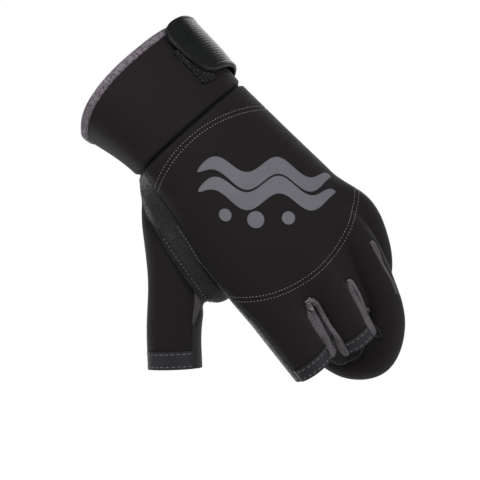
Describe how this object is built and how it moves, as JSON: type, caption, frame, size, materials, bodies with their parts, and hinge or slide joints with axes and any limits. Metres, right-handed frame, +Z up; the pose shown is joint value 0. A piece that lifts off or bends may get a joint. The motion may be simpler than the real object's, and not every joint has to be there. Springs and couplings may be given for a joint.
{
  "type": "fishing glove",
  "caption": "Left-hand fishing glove in its worn shape, with a cut-off thumb, index and middle finger, a padded back and a wrist strap.",
  "frame": {"origin": "centre of the wrist opening, on the plane of its rim", "axes": "+Z up the forearm, out of the wrist opening; -Y the back of the hand; -X the thumb side; the fingers point down"},
  "size_m": [0.1454, 0.0873, 0.217],
  "materials": {
    "neoprene": "matte jersey over neoprene foam",
    "leather": "speckled synthetic leather",
    "knit": "ribbed knit",
    "binding": "melange binding tape",
    "strap": "ribbed flexible strap with a raised edge",
    "hook_pile": "hook and loop pile"
  },
  "bodies": {
    "root": {"cuff": "neoprene", "cuff_binding": "binding", "back_yoke": "neoprene", "back_pad": "neoprene", "finger_backs": "neoprene", "palm": "leather", "finger_palms": "leather", "thumb_back": "neoprene", "thumb_palm": "leather", "thumb_gusset": "knit", "thumb_hem": "leather", "index_hem": "leather", "middle_hem": "leather", "fourchette_index_middle": "knit", "fourchette_middle_ring": "knit", "fourchette_ring_little": "knit", "wrist_tab": "strap", "tab_patch": "hook_pile"}
  },
  "joints": []
}
